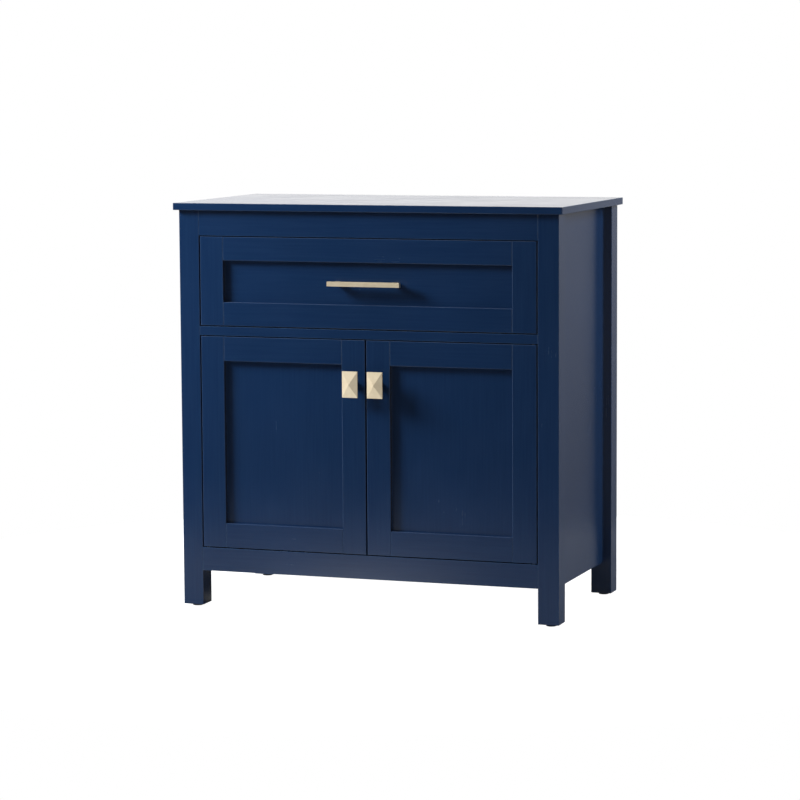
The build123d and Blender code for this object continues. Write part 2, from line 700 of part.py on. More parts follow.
# the pull is a square bar on two square posts, screwed on from inside the box
PULL_BAR_Y = (FRONT - PULL_STANDOFF, FRONT - PULL_STANDOFF + PULL_SECTION)
with BuildPart() as drawer_pull:
    block(
        (-PULL_LENGTH / 2, PULL_LENGTH / 2),
        PULL_BAR_Y,
        (PULL_LEVEL - PULL_SECTION / 2, PULL_LEVEL + PULL_SECTION / 2),
    )
    fillet(drawer_pull.edges(), EASE)
    for x, z in PULL_SCREWS:
        block(
            (x - PULL_POST / 2, x + PULL_POST / 2),
            (PULL_BAR_Y[1] - EASE, PANEL_FACE),
            (z - PULL_POST / 2, z + PULL_POST / 2),
        )
    for centre in PULL_SCREWS:
        screw_hole_along_y(centre, PANEL_FACE - PULL_SCREW_BITE - EASE, PANEL_FACE)
keep(drawer_pull.part, "drawer_pull")

with BuildPart() as pull_screws:
    for centre in PULL_SCREWS:
        screw_along_y(centre, BOX_FRONT_Y[1], PANEL_FACE - PULL_SCREW_BITE)
keep(pull_screws.part, "pull_screws")

with BuildPart() as drawer_front_screws:
    for centre in LOW_SCREWS + HIGH_SCREWS:
        screw_along_y(centre, BOX_FRONT_Y[1], FRONT_INNER - FRONT_SCREW_BITE)
keep(drawer_front_screws.part, "drawer_front_screws")

# ---- doors --------------------------------------------------------------------------
DOOR_Z = (DOOR_BOTTOM, DOOR_TOP)
DOOR_PANEL_Z = (DOOR_BOTTOM + DOOR_RAIL, DOOR_TOP - DOOR_RAIL)
DOOR_PANEL_X = (DOOR_MEETING_EDGE + STILE, FLUSH_EDGE - STILE)
KNOB_BITE = 12.0
KNOB_FACE = FRONT - KNOB_PROJECTION
KNOB_RIM_FACE = KNOB_FACE + KNOB_PYRAMID
KNOB_RIM_BACK = KNOB_RIM_FACE + KNOB_RIM
KNOB_TIP = 0.03
KNOB_BASE_R = 9.0
KNOB_BASE = 2.0


def hinge_stile(side):
    """The stile that carries the door's two pivot pins in its ends."""
    with BuildPart() as stile:
        add(framed_stile(side * FLUSH_EDGE, side * (FLUSH_EDGE - STILE), DOOR_Z))
        centre = (side * PIVOT_X, PIVOT_Y)
        bore = PIN_R + RUNNING_FIT
        rod(Plane.XY, centre, DOOR_TOP - PIN_IN_STILE, DOOR_TOP, bore, Mode.SUBTRACT)
        rod(Plane.XY, centre, DOOR_BOTTOM, DOOR_BOTTOM + PIN_IN_STILE, bore, Mode.SUBTRACT)
    return stile.part


def meeting_stile(side):
    """The stile at the middle of the cabinet, bored for the knob's screw."""
    with BuildPart() as stile:
        edge = side * DOOR_MEETING_EDGE
        add(framed_stile(edge, edge + side * STILE, DOOR_Z))
        screw_hole_along_y((side * STILE_MIDDLE, KNOB_LEVEL), FRONT, FRONT_INNER)
    return stile.part


def pivot_pins(side):
    """The door's upper and lower pivot pins."""
    with BuildPart() as pins:
        centre = (side * PIVOT_X, PIVOT_Y)
        rod(Plane.XY, centre, DOOR_TOP - PIN_IN_STILE, MIDDLE_RAIL_BOTTOM + PIN_IN_BUSH, PIN_R)
        rod(Plane.XY, centre, LOWER_RAIL_TOP - PIN_IN_BUSH, DOOR_BOTTOM + PIN_IN_STILE, PIN_R)
        chamfer(pins.edges().filter_by(GeomType.CIRCLE), SHOULDER_EASE)
    return pins.part


def knob(side):
    """A rectangular knob: a low pyramid on a thin rim, held off the door by a round stem."""
    centre = (side * STILE_MIDDLE, KNOB_LEVEL)
    with BuildPart() as piece:
        with BuildSketch(Plane.XZ.offset(-KNOB_RIM_BACK)) as rim:
            with Locations(centre):
                Rectangle(KNOB_WIDTH, KNOB_HEIGHT)
        extrude(amount=KNOB_RIM)
        with BuildSketch(Plane.XZ.offset(-KNOB_RIM_FACE)) as pyramid_base:
            with Locations(centre):
                Rectangle(KNOB_WIDTH, KNOB_HEIGHT)
        with BuildSketch(Plane.XZ.offset(-KNOB_FACE)) as pyramid_tip:
            with Locations(centre):
                Rectangle(KNOB_WIDTH * KNOB_TIP, KNOB_HEIGHT * KNOB_TIP)
        loft()
        rod_along_y(centre, KNOB_RIM_BACK, FRONT, KNOB_STEM / 2)
        rod_along_y(centre, FRONT - KNOB_BASE, FRONT, KNOB_BASE_R)
        screw_hole_along_y(centre, FRONT - KNOB_BITE - EASE, FRONT)
    return piece.part


def strike_plate(side):
    """The steel plate on the door's back that meets the magnetic catch."""
    middle = side * STILE_MIDDLE
    half = CATCH_LENGTH / 2 - STRIKE_MARGIN
    top = DOOR_TOP - STRIKE_MARGIN
    with BuildPart() as plate:
        block(
            (middle - half, middle + half),
            (FRONT_INNER, FRONT_INNER + STRIKE_THICK),
            (top - CATCH_HEIGHT + STRIKE_MARGIN, top),
        )
        fillet(plate.edges().filter_by(Axis.Y), EASE)
    return plate.part


def knob_screw(side):
    """The screw that holds the knob from the door's back."""
    with BuildPart() as screw:
        screw_along_y((side * STILE_MIDDLE, KNOB_LEVEL), FRONT_INNER, FRONT - KNOB_BITE)
    return screw.part


for side, word in SIDES:
    door = f"{word}_door"
    panel_x = sorted(mirrored(DOOR_PANEL_X, side))
    keep(hinge_stile(side), f"{door}_hinge_stile")
    keep(meeting_stile(side), f"{door}_meeting_stile")
    keep(framed_rail(panel_x, DOOR_TOP, DOOR_PANEL_Z[1]), f"{door}_top_rail")
    keep(framed_rail(panel_x, DOOR_BOTTOM, DOOR_PANEL_Z[0]), f"{door}_bottom_rail")
    keep(framed_panel(panel_x, DOOR_PANEL_Z), f"{door}_panel")
    keep(pivot_pins(side), f"{door}_pivot_pins")
    keep(knob(side), f"{door}_knob")
    keep(knob_screw(side), f"{door}_knob_screw")
    keep(strike_plate(side), f"{door}_strike_plate")
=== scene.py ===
import json
import math

import bmesh
import bpy
from mathutils import Matrix, Vector


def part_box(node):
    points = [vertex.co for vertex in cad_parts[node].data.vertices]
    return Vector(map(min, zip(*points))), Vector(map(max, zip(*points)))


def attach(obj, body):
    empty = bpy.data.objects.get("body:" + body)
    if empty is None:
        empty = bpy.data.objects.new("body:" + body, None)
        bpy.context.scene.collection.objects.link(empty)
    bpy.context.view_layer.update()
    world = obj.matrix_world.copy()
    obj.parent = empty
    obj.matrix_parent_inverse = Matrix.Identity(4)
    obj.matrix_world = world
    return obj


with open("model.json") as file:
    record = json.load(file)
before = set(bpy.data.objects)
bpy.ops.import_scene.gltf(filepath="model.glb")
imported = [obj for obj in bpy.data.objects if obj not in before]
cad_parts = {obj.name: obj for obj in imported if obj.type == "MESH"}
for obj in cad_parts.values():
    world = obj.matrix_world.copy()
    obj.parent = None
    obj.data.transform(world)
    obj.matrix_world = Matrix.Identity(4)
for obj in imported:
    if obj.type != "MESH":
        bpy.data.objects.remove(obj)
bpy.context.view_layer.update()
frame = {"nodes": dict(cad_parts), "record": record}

nodes = frame["nodes"]

# ---- camera -------------------------------------------------------------------------
CAMERA_PLACE = Vector((2.1506, -5.9898, 1.1524))
CAMERA_YAW = math.radians(19.746)
CAMERA_PITCH = math.radians(6.428)
CAMERA_ROLL = math.radians(-0.332)
CAMERA_LENS = 134.12
SENSOR_WIDTH = 36.0


def make_camera():
    """The camera to the right of the front, a little above the top, on a long lens."""
    forward = Vector((
        -math.sin(CAMERA_YAW) * math.cos(CAMERA_PITCH),
        math.cos(CAMERA_YAW) * math.cos(CAMERA_PITCH),
        -math.sin(CAMERA_PITCH),
    ))
    level = forward.cross(Vector((0, 0, 1))).normalized()
    upright = level.cross(forward)
    right = level * math.cos(CAMERA_ROLL) + upright * math.sin(CAMERA_ROLL)
    up = upright * math.cos(CAMERA_ROLL) - level * math.sin(CAMERA_ROLL)
    data = bpy.data.cameras.new("camera")
    data.sensor_width = SENSOR_WIDTH
    data.lens = CAMERA_LENS
    data.clip_end = 100.0
    camera = bpy.data.objects.new("camera", data)
    bpy.context.scene.collection.objects.link(camera)
    camera.matrix_world = Matrix((
        (right.x, up.x, -forward.x, CAMERA_PLACE.x),
        (right.y, up.y, -forward.y, CAMERA_PLACE.y),
        (right.z, up.z, -forward.z, CAMERA_PLACE.z),
        (0, 0, 0, 1),
    ))
    bpy.context.scene.camera = camera


# ---- light --------------------------------------------------------------------------
KEY_DIRECTION = Vector((-2.1, -1.0, 1.35)).normalized()
KEY_DISTANCE = 2.8
KEY_SIZE = 0.75
KEY_POWER = 128.0
FILL_DIRECTION = Vector((1.0, 0.3, 0.60)).normalized()
FILL_DISTANCE = 2.4
FILL_SIZE = 1.4
FILL_POWER = 43.0
CARD_DIRECTION = Vector((0.45, -0.88, -0.06)).normalized()
CARD_DISTANCE = 3.0
CARD_SIZE = 1.0
CARD_POWER = 2.0
OVERHEAD_DIRECTION = Vector((-0.34, -0.16, 0.92)).normalized()
OVERHEAD_DISTANCE = 2.4
OVERHEAD_SIZE = 1.0
OVERHEAD_POWER = 6.0
AIM = Vector((0, 0, 0.45))


def area_light(name, direction, distance, size, power):
    """A soft square light that looks at the cabinet from one direction."""
    data = bpy.data.lights.new(name, "AREA")
    data.shape = "SQUARE"
    data.size = size
    data.energy = power
    light = bpy.data.objects.new(name, data)
    bpy.context.scene.collection.objects.link(light)
    light.location = AIM + direction * distance
    light.rotation_mode = "QUATERNION"
    light.rotation_quaternion = (-direction).to_track_quat("-Z", "Y")
    return light


def make_lights():
    """A soft key from the upper left that reflections don't see, and three weaker lights."""
    key = area_light("key", KEY_DIRECTION, KEY_DISTANCE, KEY_SIZE, KEY_POWER)
    key.visible_glossy = False
    area_light("side_fill", FILL_DIRECTION, FILL_DISTANCE, FILL_SIZE, FILL_POWER)
    area_light("front_card", CARD_DIRECTION, CARD_DISTANCE, CARD_SIZE, CARD_POWER)
    area_light("overhead", OVERHEAD_DIRECTION, OVERHEAD_DISTANCE, OVERHEAD_SIZE, OVERHEAD_POWER)


# ---- node helpers -------------------------------------------------------------------
class NodeTree:
    """A shader node tree under construction, with short ways to add its nodes."""

    def __init__(self, owner):
        owner.use_nodes = True
        self.tree = owner.node_tree
        self.tree.nodes.clear()

    def add(self, kind):
        return self.tree.nodes.new(kind)

    def link(self, output, target):
        self.tree.links.new(output, target)

    def fill(self, sockets, values):
        """Set each socket to a number, or link it to an output."""
        for socket, value in zip(sockets, values):
            if isinstance(value, (int, float)):
                socket.default_value = value
            else:
                self.link(value, socket)

    def math(self, operation, first, second):
        node = self.add("ShaderNodeMath")
        node.operation = operation
        self.fill(node.inputs, (first, second))
        return node.outputs["Value"]

    def dot(self, vector, other):
        """The dot product of a vector output with a fixed vector or another output."""
        node = self.add("ShaderNodeVectorMath")
        node.operation = "DOT_PRODUCT"
        self.link(vector, node.inputs[0])
        if isinstance(other, tuple):
            node.inputs[1].default_value = other
        else:
            self.link(other, node.inputs[1])
        return node.outputs["Value"]

    def split(self, vector):
        node = self.add("ShaderNodeSeparateXYZ")
        self.link(vector, node.inputs["Vector"])
        return node.outputs

    def spread(self, value, low, high, start=0.3, end=0.7, curve="LINEAR"):
        """Map a value between start and end to one between low and high."""
        node = self.add("ShaderNodeMapRange")
        node.interpolation_type = curve
        names = ("From Min", "From Max", "To Min", "To Max")
        self.fill([node.inputs[name] for name in names], (start, end, low, high))
        self.link(value, node.inputs["Value"])
        return node.outputs["Result"]


# ---- surroundings -------------------------------------------------------------------
# a low white sweep behind the cabinet's left, in a dark studio
SWEEP_DIRECTION = (-0.6, 0.8, 0.0)
SWEEP_COLOUR = (1.0, 0.985, 0.965, 1.0)
SWEEP_LIGHT = 1.70
STUDIO_LIGHT = 0.025
SWEEP_START = 0.44
SWEEP_FULL = 0.90
SWEEP_LOWNESS = 0.6
# a light tent round the front, which only reflections see; it is open ahead of the flat fronts
TENT_LIGHT = 0.86
TENT_SLOPE = (-0.88, 0.0, -0.10)
TENT_START = 0.0
TENT_FULL = 0.3
OPENING_DIRECTION = (-0.34, -0.93, -0.11)
OPENING_START = 0.92
OPENING_FULL = 0.97
WHITE = (1.0, 1.0, 1.0, 1.0)


def sweep_strength(t, direction):
    """Bright towards the sweep, fading with height and to the sides."""
    height = t.math("ABSOLUTE", t.split(direction)["Z"], 0.0)
    lowered = t.math("MULTIPLY", height, -SWEEP_LOWNESS)
    towards = t.math("ADD", lowered, t.dot(direction, SWEEP_DIRECTION))
    return t.spread(towards, STUDIO_LIGHT, SWEEP_LIGHT, SWEEP_START, SWEEP_FULL, "SMOOTHSTEP")


def tent_strength(t, direction):
    """Bright in front, brightest to the left, and dark in the opening."""
    ahead = t.math("MULTIPLY", t.split(direction)["Y"], -1.0)
    in_front = t.spread(ahead, 0.0, 1.0, TENT_START, TENT_FULL, "SMOOTHSTEP")
    towards_opening = t.dot(direction, OPENING_DIRECTION)
    closed = t.spread(towards_opening, 1.0, 0.0, OPENING_START, OPENING_FULL, "SMOOTHSTEP")
    level = t.math("MAXIMUM", t.math("ADD", t.dot(direction, TENT_SLOPE), TENT_LIGHT), 0.0)
    return t.math("MULTIPLY", t.math("MULTIPLY", in_front, closed), level)


def make_world():
    """White to the camera, the sweep to every surface, and the tent to reflections alone."""
    world = bpy.data.worlds.new("studio")
    bpy.context.scene.world = world
    t = NodeTree(world)
    direction = t.add("ShaderNodeTexCoord").outputs["Generated"]
    path = t.add("ShaderNodeLightPath").outputs
    tent = t.math("MULTIPLY", tent_strength(t, direction), path["Is Glossy Ray"])
    lit = t.add("ShaderNodeBackground")
    lit.inputs["Color"].default_value = SWEEP_COLOUR
    t.link(t.math("ADD", sweep_strength(t, direction), tent), lit.inputs["Strength"])
    seen = t.add("ShaderNodeBackground")
    seen.inputs["Color"].default_value = WHITE
    choose = t.add("ShaderNodeMixShader")
    t.link(path["Is Camera Ray"], choose.inputs["Fac"])
    t.link(lit.outputs["Background"], choose.inputs[1])
    t.link(seen.outputs["Background"], choose.inputs[2])
    out = t.add("ShaderNodeOutputWorld")
    t.link(choose.outputs["Shader"], out.inputs["Surface"])


# ---- material helpers ---------------------------------------------------------------
EDGE_TURNED = 0.80
EDGE_FLAT = 0.99


class Shading(NodeTree):
    """One Principled material under construction."""

    def __init__(self, name):
        self.material = bpy.data.materials.new(name)
        super().__init__(self.material)
        self.shader = self.add("ShaderNodeBsdfPrincipled")
        out = self.add("ShaderNodeOutputMaterial")
        self.link(self.shader.outputs["BSDF"], out.inputs["Surface"])
        coordinates = self.add("ShaderNodeTexCoord").outputs
        self.place = coordinates["Object"]
        self.facing = coordinates["Normal"]

    def set(self, **values):
        for name, value in values.items():
            self.shader.inputs[name.replace("_", " ")].default_value = value

    def scaled(self, scale):
        mapping = self.add("ShaderNodeMapping")
        mapping.inputs["Scale"].default_value = scale
        self.link(self.place, mapping.inputs["Vector"])
        return mapping.outputs["Vector"]

    def noise(self, scale, detail=3.0, stretch=(1, 1, 1), rough=0.5, distortion=0.0):
        texture = self.add("ShaderNodeTexNoise")
        texture.inputs["Scale"].default_value = scale
        texture.inputs["Detail"].default_value = detail
        texture.inputs["Roughness"].default_value = rough
        texture.inputs["Distortion"].default_value = distortion
        self.link(self.scaled(stretch), texture.inputs["Vector"])
        return texture.outputs["Fac"]

    def ramp(self, value, stops):
        node = self.add("ShaderNodeValToRGB")
        for element, (position, colour) in zip(node.color_ramp.elements, stops):
            element.position = position
            element.color = (*colour, 1.0)
        for position, colour in stops[2:]:
            node.color_ramp.elements.new(position).color = (*colour, 1.0)
        self.link(value, node.inputs["Fac"])
        return node.outputs["Color"]

    def blend_colour(self, factor, first, second):
        node = self.add("ShaderNodeMix")
        node.data_type = "RGBA"
        for name, value in (("A", first), ("B", second)):
            socket = [s for s in node.inputs if s.name == name and s.type == "RGBA"][0]
            if isinstance(value, tuple):
                socket.default_value = (*value, 1.0)
            else:
                self.link(value, socket)
        self.link(factor, node.inputs["Factor"])
        return [s for s in node.outputs if s.type == "RGBA"][0]

    def bump(self, height, strength, distance, normal=None):
        node = self.add("ShaderNodeBump")
        node.inputs["Strength"].default_value = strength
        node.inputs["Distance"].default_value = distance
        self.link(height, node.inputs["Height"])
        if normal is not None:
            self.link(normal, node.inputs["Normal"])
        return node.outputs["Normal"]

    def edges(self, radius):
        """1 near a sharp or eased edge, 0 on a flat face: where a rounded normal turns away."""
        rounded = self.add("ShaderNodeBevel")
        rounded.inputs["Radius"].default_value = radius
        flat = self.add("ShaderNodeNewGeometry").outputs["Normal"]
        kept = self.dot(rounded.outputs["Normal"], flat)
        return self.spread(kept, low=1.0, high=0.0, start=EDGE_TURNED, end=EDGE_FLAT)

    def colour_to(self, output):
        self.link(output, self.shader.inputs["Base Color"])

    def roughness_to(self, output):
        self.link(output, self.shader.inputs["Roughness"])

    def normal_to(self, output):
        self.link(output, self.shader.inputs["Normal"])


# how far a texture is stretched along the grain
GRAIN_STRETCH = 0.03
ALONG = {
    "x": (GRAIN_STRETCH, 1, 1),
    "y": (1, GRAIN_STRETCH, 1),
    "z": (1, 1, GRAIN_STRETCH),
}
ROUND = (GRAIN_STRETCH, GRAIN_STRETCH, 1)

# ---- materials ----------------------------------------------------------------------
# how deep a bump is taken to be on painted or lacquered wood, and on metal or plastic
WOOD_RELIEF = 0.0004
FINE_RELIEF = 0.0003
NAVY = (0.0058, 0.0265, 0.0870)
NAVY_DEEP = (0.0050, 0.0240, 0.0790)
# a lighter blue: streaks of the grain, and the painted highlight along the arrises
NAVY_GRAIN_AND_EDGE_HIGHLIGHT = (0.0450, 0.1300, 0.2750)
PAINT_EDGE = 0.0018
PAINT_IOR = 1.5


def navy_paint(grain):
    """Satin lacquer sprayed on wood: orange peel, a trace of the grain, and a painted highlight
    along the arrises.
    """
    s = Shading(f"navy_paint_{grain}")
    cloud = s.noise(scale=4.0, detail=2.0)
    streaks = s.noise(scale=260.0, detail=4.0, stretch=ALONG[grain], rough=0.6)
    tone = s.ramp(cloud, [(0.35, NAVY_DEEP), (0.65, NAVY)])
    tone = s.blend_colour(s.spread(streaks, low=0.0, high=0.05), tone, NAVY_GRAIN_AND_EDGE_HIGHLIGHT)
    # painted highlight: lighter blue laid in patches on the arrises, standing for light caught by
    # the eased edges
    highlight_breakup = s.spread(s.noise(scale=60.0), low=0.4, high=1.0)
    s.colour_to(s.blend_colour(s.math("MULTIPLY", s.edges(PAINT_EDGE), highlight_breakup), tone, NAVY_GRAIN_AND_EDGE_HIGHLIGHT))
    smudge = s.noise(scale=9.0, detail=5.0, rough=0.65)
    sheen = s.spread(smudge, low=0.22, high=0.26)
    s.roughness_to(s.math("ADD", sheen, s.spread(streaks, low=0.0, high=0.02)))
    orange_peel = s.noise(scale=420.0, detail=2.0)
    peel = s.bump(orange_peel, strength=0.035, distance=WOOD_RELIEF)
    s.normal_to(s.bump(streaks, strength=0.015, distance=WOOD_RELIEF, normal=peel))
    s.set(IOR=PAINT_IOR)
    return s.material


BIRCH_LIGHT = (0.680, 0.520, 0.340)
BIRCH_MID = (0.600, 0.430, 0.260)
BIRCH_DARK = (0.470, 0.310, 0.170)
PLY_THICKNESS = 0.0015
FACING = 0.5


def birch_ply(grain, thickness):
    """Lacquered birch plywood: figured faces, and the plies showing on its edges."""
    s = Shading(f"birch_ply_{grain}{thickness}")
    figure = s.noise(scale=34.0, detail=6.0, stretch=ALONG[grain], rough=0.62, distortion=0.8)
    pores = s.noise(scale=520.0, detail=2.0, stretch=ALONG[grain])
    face = s.ramp(figure, [(0.30, BIRCH_DARK), (0.50, BIRCH_MID), (0.72, BIRCH_LIGHT)])
    pitted = s.spread(pores, low=0.0, high=0.35, start=0.52, end=0.70)
    face = s.blend_colour(pitted, face, BIRCH_DARK)
    depth = s.split(s.place)[thickness.upper()]
    layer = s.math("PINGPONG", s.math("DIVIDE", depth, PLY_THICKNESS), 1.0)
    edge = s.ramp(layer, [(0.35, BIRCH_DARK), (0.65, BIRCH_LIGHT)])
    across = s.math("ABSOLUTE", s.split(s.facing)[thickness.upper()], 0.0)
    s.colour_to(s.blend_colour(s.math("GREATER_THAN", across, FACING), edge, face))
    s.roughness_to(s.spread(figure, low=0.42, high=0.56))
    s.normal_to(s.bump(pores, strength=0.15, distance=WOOD_RELIEF))
    return s.material


BRASS_LIGHT = (0.850, 0.745, 0.560)
BRASS_DEEP = (0.760, 0.655, 0.470)
BRASS_EDGE = 0.0007
BRASS_METAL = 0.92


def champagne_brass(grain):
    """Brushed champagne brass: fine lines along the piece, brighter at the edges."""
    s = Shading(f"champagne_brass_{grain}")
    lines = s.noise(scale=2200.0, stretch=ALONG[grain], rough=0.6)
    cloud = s.noise(scale=40.0)
    tone = s.ramp(cloud, [(0.35, BRASS_DEEP), (0.65, BRASS_LIGHT)])
    tone = s.blend_colour(s.spread(lines, low=0.0, high=0.35), tone, BRASS_DEEP)
    # a lighter colour towards the edges
    edge_lightening = s.math("MULTIPLY", s.edges(BRASS_EDGE), 0.5)
    s.colour_to(s.blend_colour(edge_lightening, tone, BRASS_LIGHT))
    s.roughness_to(s.spread(lines, low=0.42, high=0.52))
    s.normal_to(s.bump(lines, strength=0.12, distance=FINE_RELIEF))
    s.set(Metallic=BRASS_METAL)
    return s.material


ZINC_DARK = (0.60, 0.61, 0.62)
ZINC_LIGHT = (0.69, 0.70, 0.71)


def zinc_steel(grain):
    """Zinc-plated steel sheet: a faint spangle, rolled along its length."""
    s = Shading(f"zinc_steel_{grain}")
    spangle = s.noise(scale=520.0)
    rolled = s.noise(scale=1500.0, detail=2.0, stretch=ALONG[grain])
    s.colour_to(s.ramp(spangle, [(0.3, ZINC_DARK), (0.7, ZINC_LIGHT)]))
    dull = s.spread(spangle, low=0.26, high=0.32)
    s.roughness_to(s.math("ADD", dull, s.spread(rolled, low=0.0, high=0.06)))
    s.normal_to(s.bump(rolled, strength=0.10, distance=FINE_RELIEF))
    s.set(Metallic=1.0)
    return s.material


OXIDE_DARK = (0.030, 0.030, 0.033)
OXIDE_LIGHT = (0.050, 0.050, 0.055)
OXIDE_METAL = 0.6


def black_steel():
    """Turned steel with a black oxide finish."""
    s = Shading("black_steel")
    s.colour_to(s.ramp(s.noise(scale=300.0), [(0.3, OXIDE_DARK), (0.7, OXIDE_LIGHT)]))
    turned = s.noise(scale=1800.0, detail=2.0, stretch=ROUND)
    s.roughness_to(s.spread(turned, low=0.38, high=0.48))
    s.normal_to(s.bump(turned, strength=0.10, distance=FINE_RELIEF))
    s.set(Metallic=OXIDE_METAL)
    return s.material


NYLON_DARK = (0.010, 0.010, 0.011)
NYLON_LIGHT = (0.018, 0.018, 0.020)
PLASTIC_DARK = (0.012, 0.022, 0.050)
PLASTIC_LIGHT = (0.020, 0.035, 0.075)


def moulded_plastic(name, dark, light):
    """Moulded plastic with a fine spark-eroded texture."""
    s = Shading(name)
    s.colour_to(s.ramp(s.noise(scale=50.0), [(0.3, dark), (0.7, light)]))
    grit = s.noise(scale=1400.0, detail=2.0)
    s.roughness_to(s.spread(grit, low=0.45, high=0.58))
    s.normal_to(s.bump(grit, strength=0.12, distance=FINE_RELIEF))
    return s.material


# ---- floor --------------------------------------------------------------------------
FLOOR_DARK = (0.36, 0.36, 0.36)
FLOOR_LIGHT = (0.38, 0.38, 0.38)
FLOOR_GLOW = 1.0
FLOOR_ROUGHNESS = 0.9
# what reflections see of the floor: a glow that grows to the front left, and a patch close by
FLOOR_SHEEN = 0.24
SHEEN_DIRECTION = (-0.9, -0.45, 0.0)
SHEEN_START = 0.4
SHEEN_FULL = 1.3
NEAR_SHEEN = 2.1
NEAR_SHEEN_MIDDLE = (-0.15, -0.54, 0.0)
NEAR_SHEEN_RADIUS = 0.32


def floor_white():
    """A matt studio floor: white where it is seen, and pale in the lacquer and the metal."""
    s = Shading("floor_white")
    s.colour_to(s.ramp(s.noise(scale=3.0, detail=2.0), [(0.3, FLOOR_DARK), (0.7, FLOOR_LIGHT)]))
    path = s.add("ShaderNodeLightPath").outputs
    seen = s.math("MULTIPLY", path["Is Camera Ray"], FLOOR_GLOW)
    forward = s.dot(s.place, SHEEN_DIRECTION)
    sheen = s.spread(forward, 0.0, FLOOR_SHEEN, SHEEN_START, SHEEN_FULL)
    distance = s.add("ShaderNodeVectorMath")
    distance.operation = "DISTANCE"
    distance.inputs[1].default_value = NEAR_SHEEN_MIDDLE
    s.link(s.place, distance.inputs[0])
    near = s.spread(distance.outputs["Value"], NEAR_SHEEN, 0.0, 0.0, NEAR_SHEEN_RADIUS)
    mirrored = s.math("MULTIPLY", path["Is Glossy Ray"], s.math("ADD", sheen, near))
    s.link(s.math("ADD", seen, mirrored), s.shader.inputs["Emission Strength"])
    s.set(Emission_Color=WHITE, Specular_IOR_Level=0.0, Roughness=FLOOR_ROUGHNESS)
    return s.material


FLOOR_RADIUS = 1.3
FLOOR_SIDES = 96


def make_floor():
    """A round white floor, wide enough to fill the picture below the horizon."""
    mesh = bpy.data.meshes.new("floor")
    shape = bmesh.new()
    bmesh.ops.create_circle(shape, cap_ends=True, radius=FLOOR_RADIUS, segments=FLOOR_SIDES)
    shape.to_mesh(mesh)
    shape.free()
    floor = bpy.data.objects.new("floor", mesh)
    bpy.context.scene.collection.objects.link(floor)
    mesh.materials.append(floor_white())


# ---- which finish each CAD node wears -----------------------------------------------
def axis_of(node, pick):
    """The axis along which a node is longest (pick is max) or shortest (pick is min)."""
    low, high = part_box(node)
    size = high - low
    return "xyz"[pick(range(3), key=lambda index: size[index])]


made = {}


def finish_for_slot(slot, grain, thickness=""):
    """One material for each finish and direction of the grain, made when first asked for."""
    key = (slot, grain, thickness)
    if key not in made:
        makers = {
            "navy_paint": lambda: navy_paint(grain),
            "birch_ply": lambda: birch_ply(grain, thickness),
            "champagne_brass": lambda: champagne_brass(grain),
            "zinc_steel": lambda: zinc_steel(grain),
            "black_steel": black_steel,
            "black_nylon": lambda: moulded_plastic(slot, NYLON_DARK, NYLON_LIGHT),
            "dark_plastic": lambda: moulded_plastic(slot, PLASTIC_DARK, PLASTIC_LIGHT),
        }
        made[key] = makers[slot]()
    return made[key]


def finish_for(node, slot):
    """The material of one node, with its grain along the node."""
    thickness = axis_of(node, min) if slot == "birch_ply" else ""
    return finish_for_slot(slot, axis_of(node, max), thickness)


# the radius that each finish leaves on a sharp arris, in metres
ARRIS = {
    "navy_paint": 0.0013,
    "birch_ply": 0.0005,
    "champagne_brass": 0.0004,
    "zinc_steel": 0.0002,
}
ARRIS_ANGLE = math.radians(35)
ARRIS_SEGMENTS = 2


def ease_arrises(piece, radius):
    """Round the sharp edges of a piece a little, as paint and polishing do."""
    bevel = piece.modifiers.new("arris", "BEVEL")
    bevel.width = radius
    bevel.segments = ARRIS_SEGMENTS
    bevel.limit_method = "ANGLE"
    bevel.angle_limit = ARRIS_ANGLE


def dress_nodes():
    """Give every CAD node its finish and its softened edges."""
    for part in frame["record"]["subparts"]:
        piece = nodes[part["node"]]
        slot = part["material_slot"]
        piece.data.materials.clear()
        piece.data.materials.append(finish_for(part["node"], slot))
        if slot in ARRIS:
            ease_arrises(piece, ARRIS[slot])


# ---- small hardware that the CAD model leaves out -----------------------------------
# the thickness of the slides' sheet steel, and the balls and cages between their members
SHEET = 0.0012
BALL_RADIUS = 0.00095
BALL_PITCH = 0.012
BALLS_IN_ROW = 10
BALL_SEGMENTS = 12
BALL_BANDS = 8
CAGE_THICK = 0.0003
CAGE_NARROW = 0.0005
CAGE_WIDE = 0.0013
CAGE_STEPS = 12
CAGE_CORNERS = ((-1, -1), (1, -1), (1, 1), (-1, 1))


def add_piece(name, shape, body, slot):
    """Turn a finished bmesh into a named piece of one body in one of the record's finishes."""
    mesh = bpy.data.meshes.new(name)
    bmesh.ops.recalc_face_normals(shape, faces=shape.faces)
    shape.to_mesh(mesh)
    shape.free()
    piece = bpy.data.objects.new(name, mesh)
    bpy.context.scene.collection.objects.link(piece)
    mesh.materials.append(finish_for_slot(slot, "y"))
    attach(piece, body)


def wall(shape, lower, upper):
    """Faces between two rings with the same number of vertices."""
    for index in range(len(lower)):
        following = (index + 1) % len(lower)
        shape.faces.new((lower[index], lower[following], upper[following], upper[index]))


